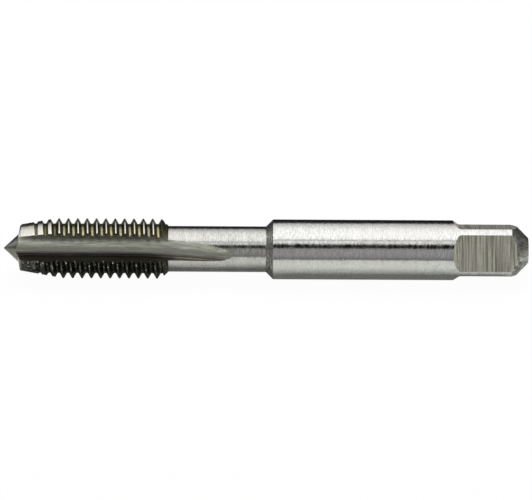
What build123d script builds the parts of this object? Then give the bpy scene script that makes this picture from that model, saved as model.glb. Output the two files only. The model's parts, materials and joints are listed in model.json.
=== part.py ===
from build123d import *
import math
import os

# Machine tap, M8 x 1.25, right-hand, with three straight flutes and a recessed neck, ground from one bar.
# It is modelled on its point, with the axis on Z, and laid along X at the end, about its middle.
# Lengths are in millimetres and angles in degrees. Each "_at" is a distance from the point.

# Point: a male centre, then a nearly flat front face with a bevelled corner
centre_angle = 86.0
centre_base_diameter = 3.7
centre_tip_diameter = 0.12
front_face_diameter = 6.0
front_face_dish = 0.25
front_corner_angle = 40.0

# Thread: a 60 degree groove, an eighth of the pitch left at the crest
thread_diameter = 8.0
thread_pitch = 1.25
thread_angle = 60.0
thread_depth = 0.70
first_groove_at = 1.2
thread_end_at = 22.0
thread_back_angle = 45.0

# Entry chamfer: full height at each cutting edge, relieved towards the heel behind it
chamfer_front_diameter = 6.4
chamfer_angle = 10.0
chamfer_relief = 0.16
relief_lead_angle = 30.0

# Flutes: the arc of a formed grinding wheel on the heel side, and a straight cutting face
flute_count = 3
flute_opening_angle = 60.0
flute_form_radius = 3.0
flute_corner_radius = 0.3
web_diameter = 3.26
rake_angle = 1.0
flute_straight_at = 14.4
wheel_radius = 86.0
wheel_feed_angle = 35.0

# Neck, shoulder and shank
neck_diameter = 6.1
neck_end_at = 35.0
shoulder_angle = 45.0
shank_diameter = 8.0
overall_length = 70.0
end_bevel_angle = 45.0
end_bevel_crown = 0.03
end_face_diameter = 3.4

# Driving square
square_across_flats = 6.3
square_length = 9.3
square_run_out_angle = 45.0
square_run_out_radius = 0.75
square_turn = 8.0

# Distance by which a cutter passes clear of the metal
overcut = 0.1

SQUARE_SIDES = 4
FULL_TURN = 360.0
QUARTER_TURN = 90.0
CREST_SHARE_OF_PITCH = 1 / 8
GROOVE_END_GAP = 10.0
UP = Vector(0, 0, 1)


def slope_length(angle, gained):
    """Length along the axis on which a slope of the given angle gains a radius."""
    return gained / math.tan(math.radians(angle))


def slope_gain(angle, length):
    """Radius that a slope of the given angle gains over a length along the axis."""
    return length * math.tan(math.radians(angle))


def polar(radius, angle):
    """Point of the cross-section at a radius and an angle."""
    return Vector(radius * math.cos(math.radians(angle)), radius * math.sin(math.radians(angle)))


def around(count, cutter, first_angle=0.0):
    """Copies of a cutter, evenly spaced about the axis."""
    return [Rot(0, 0, first_angle + step * FULL_TURN / count) * cutter for step in range(count)]


thread_radius = thread_diameter / 2
front_face_radius = front_face_diameter / 2
chamfer_front_radius = chamfer_front_diameter / 2
neck_radius = neck_diameter / 2
shank_radius = shank_diameter / 2
end_face_radius = end_face_diameter / 2
web_radius = web_diameter / 2
half_flute_angle = flute_opening_angle / 2
flute_spacing = FULL_TURN / flute_count

centre_end_at = slope_length(centre_angle / 2, (centre_base_diameter - centre_tip_diameter) / 2)
front_face_at = centre_end_at + front_face_dish
front_corner_at = front_face_at + slope_length(front_corner_angle, chamfer_front_radius - front_face_radius)


def turned_blank():
    """The bar as turned: centre, front face, thread body, neck, shoulder, shank and bevelled end."""
    thread_from = front_face_at + slope_length(front_corner_angle, thread_radius - front_face_radius)
    thread_to = thread_end_at - slope_length(thread_back_angle, thread_radius - neck_radius)
    shank_from = neck_end_at + slope_length(shoulder_angle, shank_radius - neck_radius)
    shank_to = overall_length - slope_length(end_bevel_angle, shank_radius - end_face_radius)
    shank_end = Vector(shank_radius, shank_to)
    end_face = Vector(end_face_radius, overall_length)
    bevel_middle = (shank_end + end_face) / 2 + polar(end_bevel_crown, end_bevel_angle)
    turned = Polyline(
        (0, overall_length),
        (0, 0),
        (centre_tip_diameter / 2, 0),
        (centre_base_diameter / 2, centre_end_at),
        (front_face_radius, front_face_at),
        (thread_radius, thread_from),
        (thread_radius, thread_to),
        (neck_radius, thread_end_at),
        (neck_radius, neck_end_at),
        (shank_radius, shank_from),
        shank_end,
    )
    end_bevel = ThreePointArc(shank_end, bevel_middle, end_face)
    end = Line(end_face, (0, overall_length))
    return revolve(make_face(Plane.XZ * Curve([turned, end_bevel, end])), axis=Axis.Z)


def chamfer_cutter():
    """What the entry chamfer takes off one land, from the flute ahead of it to the flute behind.

    The chamfer is a cone set off the axis towards the flute ahead, so the land falls away from
    its cutting edge to its heel.
    """
    at_edge = math.cos(math.radians(relief_lead_angle))
    at_heel = math.cos(math.radians(relief_lead_angle + flute_spacing - flute_opening_angle))
    offset = chamfer_relief / (at_edge - at_heel)
    height_left = thread_radius - chamfer_front_radius + chamfer_relief
    length = slope_length(chamfer_angle, height_left + 2 * overcut)
    start_at = front_corner_at - slope_length(chamfer_angle, overcut)
    start_radius = chamfer_front_radius - overcut - offset * at_edge
    cone = Solid.make_cone(start_radius, start_radius + slope_gain(chamfer_angle, length), length)
    cone = Pos(polar(offset, half_flute_angle - relief_lead_angle)) * cone
    sector = Solid.make_cylinder(thread_radius + overcut, length, angle=flute_spacing)
    return Pos(0, 0, start_at) * (sector - cone)


def flute_cutter():
    """The grinding wheel's path: straight along the thread, then out of the neck on its own radius.

    The wheel's form is an arc that touches the web circle and meets the bar at the heel, and a
    straight face that meets the bar at the cutting edge. It leaves along its feed direction.
    """
    centre_distance = web_radius + flute_form_radius
    heel_span = math.acos(
        (thread_radius**2 + centre_distance**2 - flute_form_radius**2)
        / (2 * thread_radius * centre_distance)
    )
    form_centre = polar(centre_distance, math.degrees(heel_span) - half_flute_angle)
    cutting_edge = polar(thread_radius, half_flute_angle)
    outwards = polar(1, half_flute_angle - rake_angle)
    edge_from_centre = cutting_edge - form_centre
    along = edge_from_centre.dot(outwards)
    face_length = along + math.sqrt(along**2 - edge_from_centre.length**2 + flute_form_radius**2)
    corner = cutting_edge - outwards * face_length

    deepest = form_centre.normalized() * web_radius
    form_end = form_centre - Vector(0, flute_form_radius)
    face_end = cutting_edge + outwards * flute_form_radius
    profile = make_face([
        ThreePointArc(corner, deepest, form_end),
        Polyline(form_end, (face_end.X, form_end.Y), face_end, corner),
    ])
    profile = fillet(profile.vertices().sort_by_distance(corner)[0], flute_corner_radius)
    profile = Plane.XY.offset(flute_straight_at) * profile

    feed = polar(1, wheel_feed_angle)
    wheel_centre = feed * (form_centre.dot(feed) - flute_form_radius + wheel_radius)
    wheel_axis = Axis(wheel_centre + UP * flute_straight_at, UP.cross(feed))
    lift = (shank_radius + overcut - web_radius) / math.cos(math.radians(wheel_feed_angle))
    swing = math.degrees(math.acos(1 - lift / wheel_radius))
    run_out = revolve(profile, axis=wheel_axis, revolution_arc=swing)
    return run_out + extrude(profile, amount=-flute_straight_at - overcut)


def flat_cutter():
    """What one flat of the driving square takes off, with a sloped and rounded run-out."""
    flat_radius = square_across_flats / 2
    clear_radius = shank_radius + overcut
    flat_at = overall_length - square_length
    run_out_at = flat_at - slope_length(square_run_out_angle, clear_radius - flat_radius)
    profile = make_face(Plane.XZ * Polyline(
        (flat_radius, flat_at),
        (flat_radius, overall_length + overcut),
        (clear_radius, overall_length + overcut),
        (clear_radius, run_out_at),
        close=True,
    ))
    run_out_corner = profile.vertices().sort_by_distance((flat_radius, 0, flat_at))[0]
    return extrude(fillet(run_out_corner, square_run_out_radius), amount=clear_radius, both=True)


def thread_groove():
    """The groove across one land: a 60 degree section on a right-hand helix, from flute to flute."""
    root_radius = thread_radius - thread_depth
    half_top = thread_pitch * (1 - CREST_SHARE_OF_PITCH) / 2
    half_root = half_top - slope_gain(thread_angle / 2, thread_depth)
    half_outer = half_top + slope_gain(thread_angle / 2, overcut)
    section = make_face(Plane.XZ * Polyline(
        (root_radius, -half_root),
        (thread_radius + overcut, -half_outer),
        (thread_radius + overcut, half_outer),
        (root_radius, half_root),
        close=True,
    ))
    turns = (flute_spacing - GROOVE_END_GAP) / FULL_TURN
    helix = Helix(pitch=thread_pitch, height=thread_pitch * turns, radius=root_radius)
    return sweep(section, path=helix, is_frenet=True)


def thread_grooves():
    """One groove on each land in turn, a step further round and a share of the pitch further on."""
    step = thread_pitch / flute_count
    count = math.ceil((thread_end_at + thread_pitch - first_groove_at) / step)
    groove = thread_groove()
    return [
        Pos(0, 0, first_groove_at + index * step) * Rot(0, 0, index * flute_spacing) * groove
        for index in range(count)
    ]


def tap():
    """The finished tap, standing on its point."""
    body = turned_blank()
    body -= around(flute_count, chamfer_cutter())
    body -= around(flute_count, flute_cutter())
    body -= around(SQUARE_SIDES, flat_cutter(), square_turn - flute_spacing)
    return body - thread_grooves()


# The axis lies on X with the nose at -X, the origin is in the middle, and one flute faces down
lay_along_x = Pos(-overall_length / 2, 0, 0) * Rot(0, QUARTER_TURN, 0)

os.makedirs("parts", exist_ok=True)
export_step(lay_along_x * tap(), "parts/tap.step")
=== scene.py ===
import json
import math
from collections import namedtuple

import bmesh
import bpy
import numpy as np
from bpy.props import FloatProperty, FloatVectorProperty, IntProperty, PointerProperty
from mathutils import Euler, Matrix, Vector


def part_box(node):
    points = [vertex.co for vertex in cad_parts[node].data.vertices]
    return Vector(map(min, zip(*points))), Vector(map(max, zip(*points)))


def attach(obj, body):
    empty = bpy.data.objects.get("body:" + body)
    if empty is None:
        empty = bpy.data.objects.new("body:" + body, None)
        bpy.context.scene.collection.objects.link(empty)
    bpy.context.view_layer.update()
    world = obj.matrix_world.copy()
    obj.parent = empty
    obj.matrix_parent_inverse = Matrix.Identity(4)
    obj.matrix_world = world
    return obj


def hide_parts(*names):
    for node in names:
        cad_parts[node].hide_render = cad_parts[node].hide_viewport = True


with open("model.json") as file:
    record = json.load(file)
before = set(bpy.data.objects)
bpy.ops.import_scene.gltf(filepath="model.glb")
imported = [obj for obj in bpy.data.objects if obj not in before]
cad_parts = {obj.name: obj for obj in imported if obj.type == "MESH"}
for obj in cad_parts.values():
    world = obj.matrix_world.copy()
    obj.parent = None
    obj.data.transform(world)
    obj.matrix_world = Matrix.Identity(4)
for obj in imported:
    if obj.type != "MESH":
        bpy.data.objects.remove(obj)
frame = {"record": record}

bl_info = {
    "name": "Machine tap",
    "version": (1, 0, 0),
    "blender": (4, 5, 0),
    "location": "3D View > Sidebar > Machine tap",
    "description": "Straight-fluted machine tap with its ground finishes, and a plain studio to show it in",
    "category": "Add Mesh",
}

MM = 0.001
MOUNTS = {mount["name"]: mount for mount in frame["record"]["mounts"]}
CAD_LOW, CAD_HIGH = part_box("tap")
SQUARE_NORMAL = Vector(MOUNTS["square_flat_front"]["axis"])


class TapPointSizes(bpy.types.PropertyGroup):
    """The male centre, the front face and the bevel round it."""

    centre_angle: FloatProperty(
        name="Centre angle", description="Angle across the pointed centre",
        default=math.radians(86), subtype="ANGLE")
    centre_base: FloatProperty(
        name="Centre base", description="Diameter of the centre where it meets the front face",
        default=3.7 * MM, unit="LENGTH")
    centre_tip: FloatProperty(
        name="Centre tip", description="Diameter of the small flat on the very point",
        default=0.12 * MM, unit="LENGTH")
    face_diameter: FloatProperty(
        name="Front face", description="Diameter of the front face",
        default=6.0 * MM, unit="LENGTH")
    face_dish: FloatProperty(
        name="Front face slope", description="Length on which the front face falls back",
        default=0.25 * MM, unit="LENGTH")
    corner_angle: FloatProperty(
        name="Front corner", description="Slope of the bevel round the front face",
        default=math.radians(40), subtype="ANGLE")


class ThreadSizes(bpy.types.PropertyGroup):
    """The right-hand thread and the relieved chamfer that leads into it."""

    diameter: FloatProperty(
        name="Thread diameter", description="Diameter over the thread crests",
        default=8.0 * MM, unit="LENGTH")
    pitch: FloatProperty(
        name="Pitch", description="Distance from one crest to the next",
        default=1.25 * MM, unit="LENGTH")
    angle: FloatProperty(
        name="Thread angle", description="Angle between the two flanks of a groove",
        default=math.radians(60), subtype="ANGLE")
    depth: FloatProperty(
        name="Thread depth", description="Height from root to crest",
        default=0.70 * MM, unit="LENGTH")
    first_groove: FloatProperty(
        name="First groove", description="Distance from the point to the middle of the first groove",
        default=1.2 * MM, unit="LENGTH")
    end: FloatProperty(
        name="Thread end", description="Distance from the point to the end of the thread",
        default=22.0 * MM, unit="LENGTH")
    back_angle: FloatProperty(
        name="Back angle", description="Slope at the back of the thread",
        default=math.radians(45), subtype="ANGLE")
    chamfer_front: FloatProperty(
        name="Chamfer front", description="Diameter of the chamfer at its front end",
        default=6.4 * MM, unit="LENGTH")
    chamfer_angle: FloatProperty(
        name="Chamfer angle", description="Slope of the entry chamfer",
        default=math.radians(10), subtype="ANGLE")
    relief: FloatProperty(
        name="Chamfer relief",
        description="How far a chamfered land falls away from its cutting edge to its heel",
        default=0.16 * MM, unit="LENGTH")


class FluteSizes(bpy.types.PropertyGroup):
    """The ground flutes and the run-out that the grinding wheel leaves in the neck."""

    opening: FloatProperty(
        name="Opening", description="Angle between the heel and the cutting edge of one flute",
        default=math.radians(60), subtype="ANGLE")
    form_radius: FloatProperty(
        name="Form radius", description="Radius of the round side of the flute",
        default=3.0 * MM, unit="LENGTH")
    corner_radius: FloatProperty(
        name="Corner radius", description="Radius where the round side meets the cutting face",
        default=0.3 * MM, unit="LENGTH")
    web: FloatProperty(
        name="Web", description="Diameter of the core that the flutes leave",
        default=3.26 * MM, unit="LENGTH")
    rake: FloatProperty(
        name="Rake", description="Lean of the cutting face",
        default=math.radians(1), subtype="ANGLE")
    straight_end: FloatProperty(
        name="Straight to", description="Distance from the point at which the wheel begins to lift",
        default=14.4 * MM, unit="LENGTH")
    wheel_radius: FloatProperty(
        name="Wheel radius", description="Radius of the grinding wheel",
        default=86.0 * MM, unit="LENGTH")
    feed_angle: FloatProperty(
        name="Feed angle", description="Direction in which the wheel lifts, from the middle of the flute",
        default=math.radians(35), subtype="ANGLE")


class ShankSizes(bpy.types.PropertyGroup):
    """The neck, the shoulder, the shank and its bevelled end."""

    length: FloatProperty(
        name="Overall length", description="From the point to the end face",
        default=CAD_HIGH.x - CAD_LOW.x, unit="LENGTH")
    diameter: FloatProperty(
        name="Shank diameter", description="Diameter of the shank",
        default=2 * MOUNTS["shank"]["dims"]["r_mm"] * MM, unit="LENGTH")
    neck: FloatProperty(
        name="Neck diameter", description="Diameter of the neck",
        default=6.1 * MM, unit="LENGTH")
    neck_end: FloatProperty(
        name="Neck end", description="Distance from the point to the foot of the shoulder",
        default=35.0 * MM, unit="LENGTH")
    shoulder_angle: FloatProperty(
        name="Shoulder angle", description="Slope of the shoulder",
        default=math.radians(45), subtype="ANGLE")
    end_face: FloatProperty(
        name="End face", description="Diameter of the end face",
        default=3.4 * MM, unit="LENGTH")
    bevel_angle: FloatProperty(
        name="Bevel angle", description="Slope of the end bevel",
        default=math.radians(45), subtype="ANGLE")
    broken_edge: FloatProperty(
        name="Broken edge", description="Radius of the edges that are stoned off the turned parts",
        default=0.14 * MM, unit="LENGTH")


class SquareSizes(bpy.types.PropertyGroup):
    """The driving square."""

    across_flats: FloatProperty(
        name="Across flats", description="Distance between opposite flats",
        default=2 * SQUARE_NORMAL.dot(MOUNTS["square_flat_front"]["pos_m"]), unit="LENGTH")
    length: FloatProperty(
        name="Length", description="Length of the flats, from the end face",
        default=9.3 * MM, unit="LENGTH")
    ramp_angle: FloatProperty(
        name="Run-out angle", description="Slope on which the flats run out into the shank",
        default=math.radians(45), subtype="ANGLE")
    ramp_radius: FloatProperty(
        name="Run-out radius", description="Radius at the foot of the run-out",
        default=0.75 * MM, unit="LENGTH")


class MeshSettings(bpy.types.PropertyGroup):
    """How finely the surfaces are divided."""

    rows_per_pitch: IntProperty(
        name="Rows per pitch", description="Rows of faces in each pitch of the thread",
        default=24, min=12)
    land_columns: IntProperty(
        name="Land columns", description="Columns of faces across one land; a multiple of four",
        default=32, min=8)
    flute_columns: IntProperty(
        name="Flute columns", description="Columns of faces across one flute",
        default=22, min=8)
    flat_columns: IntProperty(
        name="Flat columns", description="Columns of faces across one flat of the square",
        default=16, min=4)


class FinishSettings(bpy.types.PropertyGroup):
    """The painted shade on the lower side and the depth of the marks."""

    # Where the painted shade lies: a band round the lower front side, painted darker as shade, and where it
    # ends along the tap
    shade_middle: FloatProperty(
        name="Film middle", description="Middle of the oil film, as an angle below level in front",
        default=math.radians(20), subtype="ANGLE")
    shade_reach: FloatProperty(
        name="Film reach", description="How far round the film reaches to each side of its middle",
        default=math.radians(60), subtype="ANGLE")
    shade_end: FloatProperty(
        name="Film end", description="Distance from the point to the ragged end of the film",
        default=22.5 * MM, unit="LENGTH")
    mark_depth: FloatProperty(
        name="Mark depth", description="Depth of the grinding and turning marks",
        default=0.0015 * MM, unit="LENGTH")


class StudioSettings(bpy.types.PropertyGroup):
    """The camera, the lights and the floor."""

    view_width: FloatProperty(
        name="View width", description="Width of the view at the tap",
        default=71.066 * MM, unit="LENGTH")
    view_height_angle: FloatProperty(
        name="View height", description="Angle from which the camera looks down",
        default=math.radians(30), subtype="ANGLE")
    view_roll: FloatProperty(
        name="View roll", description="Tilt of the camera about its own line of sight",
        default=math.radians(0.3), subtype="ANGLE")
    view_drop: FloatProperty(
        name="View drop", description="How far below the tap's axis the camera aims",
        default=0.099 * MM, unit="LENGTH")
    distance: FloatProperty(
        name="Camera distance", description="Distance of the camera from the tap",
        default=0.6, unit="LENGTH")
    tent_radius: FloatProperty(
        name="Tent radius", description="Radius of the tunnel of panels that the steel mirrors",
        default=0.25, unit="LENGTH")
    tent_length: FloatProperty(
        name="Tent length", description="Length of the tunnel of panels",
        default=1.2, unit="LENGTH")
    panel_level: FloatProperty(
        name="Panel level", description="Brightness of the tunnel's panels, as a whole",
        default=1.0, min=0)
    panel_black: FloatProperty(
        name="Black panels", description="Brightness of the black panels",
        default=0.012, min=0)
    panel_end: FloatProperty(
        name="End panels", description="Brightness of the panels across the tunnel's ends",
        default=0.12, min=0)
    front_apron: FloatProperty(
        name="Front apron", description="Distance from the tap to the apron on the floor in front of it",
        default=26 * MM, unit="LENGTH")
    back_apron: FloatProperty(
        name="Back apron", description="Distance from the tap to the apron on the floor behind it",
        default=8 * MM, unit="LENGTH")
    shadow_lift: FloatProperty(
        name="Shadow lift", description="How much of the shadow on the floor is lifted to white",
        default=0.97, min=0, max=1)
    mirrored_lift: FloatProperty(
        name="Mirrored lift", description="Share of that lift that the steel mirrors",
        default=0.1, min=0, max=1)
    floor_size: FloatProperty(
        name="Floor", description="Width of the floor",
        default=6.0, unit="LENGTH")
    floor_colour: FloatVectorProperty(
        name="Floor colour", description="Colour of the floor",
        default=(0.875, 0.9, 0.865), size=3, subtype="COLOR")
    lamp_power: FloatProperty(
        name="Lamp power", description="Power of the soft lamp over the floor",
        default=5.6, unit="POWER")
    lamp_width: FloatProperty(
        name="Lamp width", description="Size of the lamp along the tap",
        default=0.9, unit="LENGTH")
    lamp_depth: FloatProperty(
        name="Lamp depth", description="Size of the lamp across the tap",
        default=0.5, unit="LENGTH")
    lamp_behind: FloatProperty(
        name="Lamp behind", description="How far the lamp is behind the tap",
        default=0.23, unit="LENGTH")
    lamp_height: FloatProperty(
        name="Lamp height", description="How far the lamp is above the tap",
        default=0.6, unit="LENGTH")
    fill_level: FloatProperty(
        name="Fill level", description="Strength of the even light from all round",
        default=0.14, min=0)


# The mesh's own numbers: how deep the thread is cut, and the place across a flute
CUT_DEPTH = "cut_depth"
ACROSS_FLUTE = "across_flute"
# The zones of the surface, in the order of their materials
GROUND, NECKED, THREADED, FLUTED, TURNED, FLATTED, POINTED = range(7)
FLUTES = 3
SQUARE_SIDES = 4
THIRD_TURN = 2 * math.pi / FLUTES
QUARTER_TURN = math.pi / 2
# Share of the pitch that a crest keeps, and the share of the thread's depth at which its back slope is held
CREST_SHARE = 1 / 8
FLANK_SHARE = 0.5
# Share of a pitch in which the rows take up the lean of the thread, at both its ends
LEAN_SHARE = 0.8
# How far a flute's section is drawn, as a share of the bar's radius, and how far a flat's passes the bar
FLUTE_REACH = 1.08
FLAT_REACH = 0.1 * MM
# The last place on a flute's section
SECTION_END = 3
# Points of a rounded edge, and of the run-out of a flat
EDGE_POINTS = 5
RAMP_POINTS = 7
# Parts into which the rows divide each stretch of the axis, in order to the seam and on from it
POINT_ROWS, CENTRE_ROWS, FACE_ROWS, CORNER_ROWS, RUN_OUT_ROWS, NECK_ROWS, SHANK_ROWS = 6, 8, 8, 5, 31, 4, 5
SEAM_ROWS, FLAT_END_ROWS, FLAT_ROWS = 4, 14, 5
# Columns in the corner of a flute
FLUTE_CORNER_COLUMNS = 5
# How the rows crowd towards the mouths of the flutes in the centre, and towards the end of their run-out
CENTRE_CROWDING = 1.5
RUN_OUT_CROWDING = 2
# How far to each side of a rounded edge the rows follow it closely
EDGE_MARGIN = 1.0 * MM
# Steps to a place on a leaning row, and halvings to the rim of a flute
LEAN_STEPS = 3
HALVINGS = 40
# Widths of a flute, in places on its section: below the first it is closed, and none counts as less than
# the second
CLOSED = 1e-6
NARROWEST = 1e-9
# Points nearer than this are one, and an edge is sharp past this angle
WELD = 0.0001 * MM
SHARP_ANGLE = math.radians(24)


def parted(start, end, parts):
    """Places that divide a stretch evenly, without its start."""
    return np.linspace(start, end, parts + 1)[1:]


def arc(centre, start, turn, steps):
    """Points round a centre from a start, as complex numbers: centre + (start - centre) * exp(i * angle)."""
    return centre + (start - centre) * np.exp(1j * np.linspace(0, turn, steps))


def rounded(corners, rounds, steps=EDGE_POINTS):
    """An open outline whose inner corners are replaced by tangent arcs, or kept where the radius is 0.

    Where the outline turns by an angle, the arc of radius r leaves it r * tan(angle / 2) before the
    corner, and its centre lies r to the side that the outline turns to.
    """
    points = [corners[:1]]
    for before, corner, after, radius in zip(corners, corners[1:], corners[2:], rounds):
        heading = (corner - before) / abs(corner - before)
        turn = np.angle((after - corner) / heading)
        start = corner - heading * radius * math.tan(abs(turn) / 2)
        centre = start + 1j * heading * radius * np.sign(turn)
        points.append(arc(centre, start, turn, steps) if radius else [corner])
    return np.concatenate([*points, corners[-1:]])


class Turning:
    """The turned form of the bar: its radius at each distance along the axis."""

    def __init__(self, sizes):
        point, thread, shank = sizes.tap_point, sizes.tap_thread, sizes.tap_shank
        self.centre_end = (point.centre_base - point.centre_tip) / 2 / math.tan(point.centre_angle / 2)
        self.face_end = self.centre_end + point.face_dish
        corner_rise = (thread.chamfer_front - point.face_diameter) / 2
        self.corner_end = self.face_end + corner_rise / math.tan(point.corner_angle)
        blunt = (thread.diameter - point.face_diameter) / 2 / math.tan(point.corner_angle)
        back = (thread.diameter - shank.neck) / 2 / math.tan(thread.back_angle)
        rise = (shank.diameter - shank.neck) / 2 / math.tan(shank.shoulder_angle)
        bevel = (shank.diameter - shank.end_face) / 2 / math.tan(shank.bevel_angle)
        self.shank_start = shank.neck_end + rise
        self.shank_end = shank.length - bevel
        corners = np.array([
            0 + 0.5j * point.centre_tip,
            self.centre_end + 0.5j * point.centre_base,
            self.face_end + 0.5j * point.face_diameter,
            self.face_end + blunt + 0.5j * thread.diameter,
            thread.end - back + 0.5j * thread.diameter,
            thread.end + 0.5j * shank.neck,
            shank.neck_end + 0.5j * shank.neck,
            self.shank_start + 0.5j * shank.diameter,
            self.shank_end + 0.5j * shank.diameter,
            shank.length + 0.5j * shank.end_face,
            shank.length + 0j,
        ])
        edge = shank.broken_edge
        self.outline = rounded(corners, [0, 0, 0, 0, 0, 2 * edge, edge, edge, edge])[:-1]

    def radius(self, along):
        """Radius of the outline, straight between its points."""
        return np.interp(along, self.outline.real, self.outline.imag)

    def rows(self, start, end):
        """The outline's own points between two places on the axis."""
        places = self.outline.real
        return places[(places > start) & (places < end)]


class Lands:
    """The outside of the three lands: the turned form, less the thread grooves and the entry chamfer."""

    def __init__(self, sizes, turning):
        self.turning = turning
        self.thread = sizes.tap_thread
        self.flank_slope = math.tan(self.thread.angle / 2)
        self.half_root = self.thread.pitch * (1 - CREST_SHARE) / 2 - self.thread.depth * self.flank_slope
        half_opening = sizes.tap_flute.opening / 2
        at_edge = math.cos(half_opening)
        at_heel = math.cos(THIRD_TURN - half_opening)
        self.offset = self.thread.relief / (at_edge - at_heel)
        self.start_radius = self.thread.chamfer_front / 2 - self.offset * at_edge

    def threaded(self, along, angle):
        """Radius left by the groove, a trapezium of the thread's angle repeated each pitch of a helix.

        The distance from the middle of the nearest groove, along the axis, is
        pitch * |phase - round(phase)|, where phase = (along - first groove) / pitch - angle / full turn.
        """
        phase = (along - self.thread.first_groove) / self.thread.pitch - angle / (2 * math.pi)
        from_groove = np.abs(phase - np.round(phase)) * self.thread.pitch
        rise = np.clip((from_groove - self.half_root) / self.flank_slope, 0, self.thread.depth)
        return self.thread.diameter / 2 - self.thread.depth + rise

    def chamfered(self, along, behind):
        """Radius of the entry chamfer, a cone set off the axis towards the flute ahead of the land.

        At an angle a behind that flute's middle, a circle of radius R set off by e is met at
        e * cos(a) + sqrt(R^2 - (e * sin(a))^2).
        """
        cone = self.start_radius + (along - self.turning.corner_end) * math.tan(self.thread.chamfer_angle)
        cone = np.maximum(cone, self.offset)
        return self.offset * np.cos(behind) + np.sqrt(cone**2 - (self.offset * np.sin(behind)) ** 2)

    def body(self, along, behind):
        """Radius of the land before the thread is cut."""
        return np.minimum(self.turning.radius(along), self.chamfered(along, behind))

    def radius(self, along, behind, angle):
        """Radius of the metal at a place along the axis and an angle round it."""
        body = self.body(along, behind)
        cut = np.minimum(body, self.threaded(along, angle))
        return np.where(along < self.thread.end, cut, body)

    def cut_depth(self, along, behind, angle):
        """How far the metal is below the chamfer and the thread's diameter, as a share of its depth.

        On the slope at the thread's back end, the share is held at that of a flank.
        """
        uncut = np.minimum(self.thread.diameter / 2, self.chamfered(along, behind))
        share = (uncut - self.radius(along, behind, angle)) / self.thread.depth
        sloped = (along > self.turning.face_end + self.thread.pitch) & (self.body(along, behind) < uncut)
        return np.where(sloped, np.minimum(share, FLANK_SHARE), share)


class Flute:
    """One flute's section, and how it lies against the lands at each row.

    Points of the section are complex numbers, with the middle of the flute along the real axis. A
    place on the section is a number from 0 to 3: the round side to 1, the corner to 2, and the
    straight cutting face to 3.
    """

    def __init__(self, sizes, lands):
        flute, thread = sizes.tap_flute, sizes.tap_thread
        self.sizes = flute
        self.pitch = thread.pitch
        self.lands = lands
        bar = thread.diameter / 2
        distance = flute.web / 2 + flute.form_radius
        self.radius = flute.form_radius
        heel = math.acos((bar**2 + distance**2 - self.radius**2) / (2 * bar * distance))
        self.centre = distance * np.exp(1j * (heel - flute.opening / 2))
        edge = bar * np.exp(0.5j * flute.opening)
        self.face = np.exp(1j * (flute.opening / 2 - flute.rake))
        inset = edge - 1j * self.face * flute.corner_radius - self.centre
        along_face = (inset * self.face.conjugate()).real
        reach = self.radius - flute.corner_radius
        back = -along_face - math.sqrt(along_face**2 - abs(inset) ** 2 + reach**2)
        self.corner = self.centre + inset + back * self.face
        self.face_start = edge + back * self.face
        clear = FLUTE_REACH * bar
        self.face_length = clear - abs(self.face_start)
        far = math.acos((clear**2 - distance**2 - self.radius**2) / (2 * distance * self.radius))
        self.arc_start = np.angle(self.centre) + 2 * math.pi - far
        self.arc_end = np.angle(self.corner - self.centre) % (2 * math.pi)
        self.corner_end = np.angle(1j * self.face)
        self.feed = np.exp(1j * flute.feed_angle)
        ahead = (self.centre * self.feed.conjugate()).real
        neck = sizes.tap_shank.neck / 2
        lift = math.sqrt(ahead**2 - distance**2 + (neck + self.radius) ** 2) - ahead
        wheel = flute.wheel_radius
        self.end = flute.straight_end + math.sqrt(wheel**2 - (wheel - lift) ** 2)

    def point(self, place):
        """Point of the section: centre + radius * exp(i * angle) on the arcs, then a straight line."""
        on_arc = self.arc_start + (self.arc_end - self.arc_start) * np.clip(place, 0, 1)
        on_corner = self.arc_end + (self.corner_end - self.arc_end) * np.clip(place - 1, 0, 1)
        on_face = self.face_length * np.clip(place - 2, 0, 1)
        return np.where(
            place <= 1,
            self.centre + self.radius * np.exp(1j * on_arc),
            np.where(
                place <= 2,
                self.corner + self.sizes.corner_radius * np.exp(1j * on_corner),
                self.face_start + on_face * self.face,
            ),
        )

    def travel(self, along):
        """How far the wheel has lifted: radius - sqrt(radius^2 - distance past the straight part^2)."""
        past = np.clip(along, self.sizes.straight_end, self.end) - self.sizes.straight_end
        wheel = self.sizes.wheel_radius
        return (wheel - np.sqrt(wheel**2 - past**2)) * self.feed

    def deepest(self, along):
        """Place on the section nearest to the axis."""
        angle = (np.angle(self.centre + self.travel(along)) + math.pi) % (2 * math.pi)
        return (self.arc_start - angle) / (self.arc_start - self.arc_end)

    def leaning(self, place, row, lean, land_middle):
        """Point of the section on a row that leans along the thread's helix over the land beside it."""
        along = row
        for _ in range(LEAN_STEPS):
            point = self.point(place) + self.travel(along)
            along = row + lean * self.pitch * (np.angle(point) - land_middle) / (2 * math.pi)
        return along, point

    def rim(self, row, lean, middle, side):
        """Place where the section meets the land on one side, found by halving.

        The side is -1 at the heel and 1 at the cutting edge. Where the flute has left the metal, the
        place is the deepest one.
        """
        land_middle = side * THIRD_TURN / 2
        inside = np.repeat(self.deepest(row), FLUTES, axis=1)
        outside = np.full_like(inside, 0 if side < 0 else SECTION_END)
        for _ in range(HALVINGS):
            place = (inside + outside) / 2
            along, point = self.leaning(place, row, lean, land_middle)
            behind = np.angle(point) + (THIRD_TURN if side < 0 else 0)
            clear = np.abs(point) > self.lands.radius(along, behind, np.angle(point) + middle)
            clear |= row >= self.end
            outside = np.where(clear, place, outside)
            inside = np.where(clear, inside, place)
        return inside


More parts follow.
